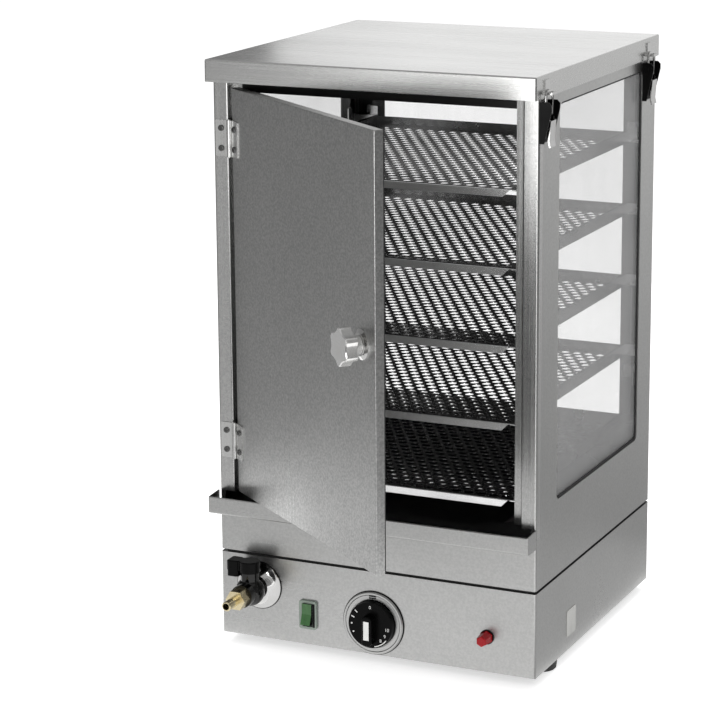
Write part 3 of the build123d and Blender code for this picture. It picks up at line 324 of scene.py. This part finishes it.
MATERIALS = {
    "steel_front": brushed_steel("steel_front", "x", 0.52, 0.32),
    "steel_lid": brushed_steel("steel_lid", "x", 0.60, 0.25, 0.05),
    "steel_right": brushed_steel("steel_right", "z", 0.51, 0.34, painted_shade_side=TO_LEFT),
    "steel_left": brushed_steel("steel_left", "z", 0.51, 0.34, painted_shade_side=TO_RIGHT),
    "steel_rear": brushed_steel("steel_rear", "z", 0.51, 0.34, painted_shade_side=TO_FRONT),
    "steel_post": brushed_steel("steel_post", "z", 0.54, 0.22),
    "steel_door": brushed_steel("steel_door", "z", 0.53, 0.34, 0.25, 0.08),
    # Painted shade: the head rail has a near black tone for the shade under the lid.
    "rail_steel_painted_shade": mill_steel("rail_steel_painted_shade", 0.03, 0.4),
    "tray_steel": tray_steel("tray_steel", 0.10, 1.0),
    # Painted shade: the basin and the bottom plate have a near black tone for the shade under the trays.
    "basin_steel": mill_steel("basin_steel", 0.05, 0.36),
    "hinge_steel": brushed_steel("hinge_steel", "z", 0.66, 0.26, 0.05),
    "screw_steel": chrome("screw_steel", 0.16, 0.2),
    "spindle_steel": mill_steel("spindle_steel", 0.30, 0.3),
    "heater": heater_metal("heater"),
    "chrome": chrome("chrome", 0.66, 0.06),
    "knob_chrome": chrome("knob_chrome", 0.76, 0.12, 0.8),
    # Painted reflection: the drain valve's chrome is darkened nearly to black for the dark room it
    # reflects.
    "chrome_painted_dark_reflection": chrome("chrome_painted_dark_reflection", 0.045, 0.06),
    "latch_chrome": chrome("latch_chrome", 0.60, 0.12),
    # Painted shade: the toggle brackets are black where the latches stand in shade.
    "latch_painted_shade": plastic("latch_painted_shade", BLACK, 0.3, 0.1, Specular_IOR_Level=0.1),
    "brass": brass("brass"),
    "dial_metal": brushed_steel("dial_metal", "x", 0.52, 0.34, 0.03),
    "black_plastic": plastic("black_plastic", BLACK, 0.30, Specular_IOR_Level=0.08),
    "black_lever": plastic("black_lever", BLACK, 0.22, 0.15, Specular_IOR_Level=0.1),
    "rocker": two_colour_plastic("rocker", (0.05, 0.15, 0.045, 1.0), (0.002, 0.003, 0.002, 1.0)),
    "red_plastic": plastic("red_plastic", (0.34, 0.003, 0.008, 1.0), 0.14, 0.05, Specular_IOR_Level=0.3),
    "clear_frame": plastic("clear_frame", (0.27, 0.32, 0.275, 1.0), 0.16, 0.05),
    "rubber": rubber("rubber"),
    "side_glass": window_glass("side_glass", 0.22, 0.28, 0.62),
    "rear_glass": window_glass("rear_glass", 0.12, 0.17, 0.60),
    "white_ink": plastic("white_ink", (0.80, 0.80, 0.78, 1.0), 0.4, 0.05),
    # Black print, and also the black strip and rings of painted shadow.
    "black_ink_and_painted_shadow": plastic("black_ink_and_painted_shadow", BLACK, 0.4, 0.05, Specular_IOR_Level=0.2),
    "label": plastic("label", (0.50, 0.50, 0.48, 1.0), 0.35, 0.1),
}

FINISH = {
    "steel_front": ["base_shell", "front_tank_panel", "drip_gutter"],
    "rail_steel_painted_shade": ["head_rail"],
    "steel_lid": ["lid"],
    "steel_right": ["right_wall"],
    "steel_left": ["left_wall"],
    "steel_rear": ["rear_wall"],
    "steel_post": ["right_post", "left_post"],
    "steel_door": ["door_outer_pan", "door_inner_panel"],
    "tray_steel": ["tray_1", "tray_2", "tray_3", "tray_4", "tray_5", "tray_runners", "glass_clips"],
    "basin_steel": ["water_basin", "base_bottom_plate"],
    "hinge_steel": ["hinge_post_leaves", "hinge_door_leaves", "hinge_pins"],
    "screw_steel": ["hinge_post_screws", "hinge_door_screws", "foot_screws"],
    "spindle_steel": ["latch_spindle", "latch_cam", "thermostat_shaft"],
    "heater": ["heating_element"],
    "chrome": ["knob_rosette", "drain_rosette"],
    "knob_chrome": ["door_knob"],
    "chrome_painted_dark_reflection": ["drain_valve_body", "drain_stem"],
    "latch_chrome": ["toggle_keepers", "front_toggle_bail", "rear_toggle_bail",
                     "front_toggle_lever", "rear_toggle_lever"],
    "latch_painted_shade": ["toggle_brackets"],
    "brass": ["drain_hose_tail", "drain_pipe"],
    "dial_metal": ["dial_bezel"],
    "black_plastic": ["dial_knob", "thermostat_body", "cable_gland", "lamp_body"],
    "black_lever": ["drain_lever"],
    "rocker": ["switch_rocker"],
    "red_plastic": ["lamp_lens"],
    "clear_frame": ["switch_housing"],
    "rubber": ["rubber_feet", "window_gaskets", "door_seal", "seam_gasket"],
    "side_glass": ["side_glass_panes"],
    "rear_glass": ["rear_glass_pane"],
    "label": ["rating_label"],
}


def paint(piece, material):
    piece.data.materials.clear()
    piece.data.materials.append(MATERIALS[material])


def paint_nodes():
    for material, names in FINISH.items():
        for name in names:
            paint(nodes[name], material)


# Printed marks, and a strip and rings of painted shadow


def add_piece(name, mesh, material, body):
    piece = bpy.data.objects.new(name, mesh)
    bpy.context.scene.collection.objects.link(piece)
    paint(piece, material)
    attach(piece, body)
    return piece


def add_prism(shape, outline, back, front):
    """A flat shape facing the front, as a closed prism. The outline is a list of X and Z, clockwise."""
    ends = [[shape.verts.new((x, y, z)) for x, z in outline] for y in (front, back)]
    shape.faces.new(ends[0])
    shape.faces.new(list(reversed(ends[1])))
    count = len(outline)
    for i in range(count):
        j = (i + 1) % count
        shape.faces.new((ends[0][j], ends[0][i], ends[1][i], ends[1][j]))


def finish_mesh(name, shape):
    bmesh.ops.recalc_face_normals(shape, faces=shape.faces)
    mesh = bpy.data.meshes.new(name)
    shape.to_mesh(mesh)
    shape.free()
    return mesh


def bar(centre, along, half_length, half_width):
    """The corners of a bar round a centre, lying along a direction."""
    across = Vector((along.y, -along.x))
    corners = ((-1, -1), (-1, 1), (1, 1), (1, -1))
    return [centre + along * half_length * a + across * half_width * b for a, b in corners]


def arc(centre, inner, outer, start, end, steps=12):
    """The outline of a curved stroke between two clockwise angles from the top, in degrees."""
    angles = [math.radians(start + (end - start) * step / steps) for step in range(steps + 1)]
    rim = [centre + Vector((math.sin(a), math.cos(a))) * outer for a in angles]
    return rim + [centre + Vector((math.sin(a), math.cos(a))) * inner for a in reversed(angles)]


def clockwise(degrees):
    """The direction at a clockwise angle from the top, as X and Z."""
    return Vector((math.sin(math.radians(degrees)), math.cos(math.radians(degrees))))


def numeral(shape, text, centre, height, back):
    """A number in plain type, standing upright and facing the front."""
    curve = bpy.data.curves.new("numeral", "FONT")
    curve.body = text
    curve.size = height
    curve.extrude = PRINT_T / 2
    curve.align_x = "CENTER"
    curve.align_y = "CENTER"
    letter = bpy.data.objects.new("numeral", curve)
    mesh = bpy.data.meshes.new_from_object(letter)
    stand_up = Matrix.Rotation(math.pi / 2, 4, "X")
    mesh.transform(Matrix.Translation((centre.x, back - PRINT_T / 2, centre.y)) @ stand_up)
    shape.from_mesh(mesh)
    bpy.data.objects.remove(letter)
    bpy.data.curves.remove(curve)
    bpy.data.meshes.remove(mesh)


def middle(node):
    """The middle of a node, seen from the front, as X and Z."""
    low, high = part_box(node)
    return Vector(((low[0] + high[0]) / 2, (low[2] + high[2]) / 2))


def add_bezel_marks():
    """Two bars and a pointer line on the bezel, over the knob."""
    centre = middle("dial_knob")
    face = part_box("base_shell")[0][1] - BEZEL_FACE
    shape = bmesh.new()
    for radius in BEZEL_BAR_RADII:
        outline = bar(centre + Vector((0, radius)), Vector((1, 0)), *BEZEL_BAR)
        add_prism(shape, outline, face, face - PRINT_T)
    stem = bar(centre + Vector((0, BEZEL_STEM_RADIUS)), Vector((0, 1)), *BEZEL_STEM)
    add_prism(shape, stem, face, face - PRINT_T)
    add_piece("bezel_marks", finish_mesh("bezel_marks", shape), "black_ink_and_painted_shadow", "cabinet")


def add_dial_marks():
    """Ticks, dots, numbers and an arc on the knob's skirt."""
    centre = middle("dial_knob")
    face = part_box("base_shell")[0][1] - SKIRT_FACE
    shape = bmesh.new()
    for angle in TICK_ANGLES:
        way = clockwise(angle)
        tick = bar(centre + way * SKIRT_MARKS_RADIUS, way, *TICK)
        add_prism(shape, tick, face, face - PRINT_T)
    for angle in DOT_ANGLES:
        dot = arc(centre + clockwise(angle) * SKIRT_MARKS_RADIUS, *DOT_RADII, *DOT_SWEEP)
        add_prism(shape, dot, face, face - PRINT_T)
    for text, angle in NUMBERS.items():
        numeral(shape, text, centre + clockwise(angle) * NUMBERS_RADIUS, NUMBER_HEIGHT, face)
    add_prism(shape, arc(centre, *SWEEP_RADII, *SWEEP_ANGLES), face, face - PRINT_T)
    add_piece("dial_marks", finish_mesh("dial_marks", shape), "white_ink", "dial")


def add_pointer():
    """The white strip let into the knob's grip, below its axis."""
    width, length = POINTER
    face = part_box("dial_knob")[0][1]
    shape = bmesh.new()
    outline = bar(middle("dial_knob") - Vector((0, POINTER_DROP)), Vector((0, 1)), length / 2, width / 2)
    add_prism(shape, outline, face + PRINT_T, face - PRINT_T)
    add_piece("dial_pointer", finish_mesh("dial_pointer", shape), "white_ink", "dial")


def add_switch_painted_shadow():
    """A black strip on the switch frame beside the rocker, a painted shadow of the rocker's side."""
    centre = middle("switch_housing") + Vector((SHADOW_STRIP_X, 0))
    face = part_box("switch_housing")[0][1]
    shape = bmesh.new()
    width, height = SHADOW_STRIP
    add_prism(shape, bar(centre, Vector((0, 1)), height / 2, width / 2), face, face - PRINT_T)
    add_piece("switch_painted_shadow", finish_mesh("switch_painted_shadow", shape), "black_ink_and_painted_shadow", "cabinet")


def add_ring(name, node, sizes):
    """A thin flat black ring on the front panel round a control, a painted shadow line at its edge."""
    inner, outer, thickness = sizes
    centre = middle(node)
    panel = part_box("base_shell")[0][1]
    shape = bmesh.new()
    profile = ((inner, 0.0), (inner, thickness), (outer, thickness), (outer, 0.0))
    rows = []
    for step in range(RING_STEPS):
        way = clockwise(360.0 * step / RING_STEPS)
        corners = [(centre.x + way.x * r, panel - t, centre.y + way.y * r) for r, t in profile]
        rows.append([shape.verts.new(corner) for corner in corners])
    for step in range(RING_STEPS):
        here, after = rows[step], rows[(step + 1) % RING_STEPS]
        for i in range(len(profile)):
            j = (i + 1) % len(profile)
            shape.faces.new((here[i], here[j], after[j], after[i]))
    add_piece(name, finish_mesh(name, shape), "black_ink_and_painted_shadow", "cabinet")


# The room


def card_glow(name, first, last, low, high, axis):
    """A card's glow, going from first to last grey as one coordinate goes from low to high."""
    material = bpy.data.materials.new(name)
    material.use_nodes = True
    tree = material.node_tree
    tree.nodes.clear()
    output = tree.nodes.new("ShaderNodeOutputMaterial")
    glow = tree.nodes.new("ShaderNodeEmission")
    place = tree.nodes.new("ShaderNodeTexCoord")
    split = tree.nodes.new("ShaderNodeSeparateXYZ")
    ramp = tree.nodes.new("ShaderNodeMapRange")
    for socket, value in (("From Min", low), ("From Max", high), ("To Min", first), ("To Max", last)):
        ramp.inputs[socket].default_value = value
    tree.links.new(place.outputs["Object"], split.inputs[0])
    tree.links.new(split.outputs[axis], ramp.inputs["Value"])
    tree.links.new(ramp.outputs["Result"], glow.inputs["Strength"])
    tree.links.new(glow.outputs[0], output.inputs[0])
    return material


def add_card(name, corners, first, last, low, high, axis):
    """A glowing card that only reflections show."""
    mesh = bpy.data.meshes.new(name)
    mesh.from_pydata(corners, [], [(0, 1, 2, 3)])
    mesh.materials.append(card_glow(name, first, last, low, high, axis))
    card = bpy.data.objects.new(name, mesh)
    bpy.context.scene.collection.objects.link(card)
    for ray in ("camera", "diffuse", "transmission", "volume_scatter", "shadow"):
        setattr(card, f"visible_{ray}", False)


def upright(start, end, low, high):
    """The corners of an upright card between two places on the floor."""
    return [(*start, low), (*end, low), (*end, high), (*start, high)]


def lying(low, high, level):
    """The corners of a flat rectangle, from its lowest to its highest X and Y, at a level."""
    return [(*low, level), (high[0], low[1], level), (*high, level), (low[0], high[1], level)]


def add_floor():
    """A pale floor that glows a little, so that it stays near white under the cabinet's shadow."""
    mesh = bpy.data.meshes.new("floor")
    corners = lying((-FLOOR_HALF, -FLOOR_HALF), (FLOOR_HALF, FLOOR_HALF), 0)
    mesh.from_pydata(corners, [], [(0, 1, 2, 3)])
    floor = bpy.data.objects.new("floor", mesh)
    bpy.context.scene.collection.objects.link(floor)
    shader = Shader("floor", Roughness=0.8, Emission_Strength=0.65)
    patches = shader.noise((2.0, 2.0, 2.0), detail=3.0)
    tone = shader.mix(patches, grey(0.93), grey(0.96))
    mesh.materials.append(shader.set(Base_Color=tone, Emission_Color=tone))


def add_light(name, place, target, size, watts):
    data = bpy.data.lights.new(name, "AREA")
    data.shape = "RECTANGLE"
    data.size, data.size_y = size
    data.energy = watts
    light = bpy.data.objects.new(name, data)
    light.location = place
    light.rotation_euler = (Vector(target) - Vector(place)).to_track_quat("-Z", "Y").to_euler()
    light.visible_camera = False
    light.visible_glossy = False
    bpy.context.scene.collection.objects.link(light)


def add_world():
    """White behind the cabinet, and a dimmer studio round it for what it reflects."""
    world = bpy.data.worlds.new("world")
    world.use_nodes = True
    tree = world.node_tree
    background = tree.nodes["Background"]
    background.inputs["Color"].default_value = (1.0, 1.0, 1.0, 1.0)
    path = tree.nodes.new("ShaderNodeLightPath")
    level = tree.nodes.new("ShaderNodeMapRange")
    level.inputs["To Min"].default_value = STUDIO_LEVEL
    level.inputs["To Max"].default_value = 1.0
    tree.links.new(path.outputs["Is Camera Ray"], level.inputs["Value"])
    tree.links.new(level.outputs["Result"], background.inputs["Strength"])
    bpy.context.scene.world = world


# Name, place, target, width and height, and watts.
LIGHTS = [
    ("top_light", (-0.4, 0.6, 2.4), (0, 0, 0.4), (2.4, 1.8), 34.0),
    ("front_light", (1.2, -2.6, 1.9), (0, 0, 0.3), (1.6, 1.2), 26.0),
]

# Cards that stand up. Name, where it starts and ends on the floor, its lower and upper edge, its
# first and last glow, the stretch of the axis over which the glow changes, and that axis.
UPRIGHT_CARDS = [
    ("left_card", (-0.75, -1.0), (-0.75, 1.1), 0.0, 1.3, (0.40, 0.24), (0.0, 0.75), "Z"),
    ("right_card", (0.185, 0.32), (1.3, 0.32), 0.0, 1.0, (0.40, 0.75), (0.0, 0.55), "Z"),
    ("edge_card", (0.6, -1.1), (0.6, 0.25), 0.0, 0.9, (0.34, 0.20), (0.0, 0.6), "Z"),
    ("rear_card", (-1.2, 0.5), (0.18, 0.5), 0.0, 0.64, (0.02, 0.02), (0.0, 0.64), "Z"),
    ("top_card", (-1.6, 1.3), (0.5, 1.3), 0.66, 1.3, (0.90, 1.2), (-1.0, -0.6), "X"),
    ("front_dark_card", (-1.0, -0.9), (0.1, -0.9), 0.0, 0.36, (0.66, 0.03), (-0.56, -0.2), "X"),
    ("front_card", (-1.0, -1.2), (0.2, -1.2), 0.24, 0.64, (0.48, 4.6), (-0.52, -0.1), "X"),
]

# Cards that lie just over the floor. Name, lowest and highest X and Y, first and last glow, and
# the stretch of X over which the glow changes.
PATCH_LEVEL = 0.002
FLOOR_CARDS = [
    ("front_floor_card", (-1.4, -1.15), (0.19, -0.2), (0.72, 1.08), (-0.5, 0.0)),
    ("side_floor_card", (0.19, -0.25), (1.1, 0.32), (0.56, 0.56), (0.0, 1.0)),
]


def add_room():
    add_world()
    bpy.context.scene.view_settings.view_transform = "Standard"
    add_floor()
    for light in LIGHTS:
        add_light(*light)
    for name, start, end, low, high, glow, span, axis in UPRIGHT_CARDS:
        add_card(name, upright(start, end, low, high), *glow, *span, axis)
    for name, low, high, glow, span in FLOOR_CARDS:
        add_card(name, lying(low, high, PATCH_LEVEL), *glow, *span, "X")


add_camera()
add_room()
paint_nodes()
add_bezel_marks()
add_dial_marks()
add_pointer()
add_switch_painted_shadow()
add_ring("bezel_shadow_ring", "dial_bezel", BEZEL_SHADOW_RING)
add_ring("rosette_shadow_ring", "drain_rosette", ROSETTE_SHADOW_RING)
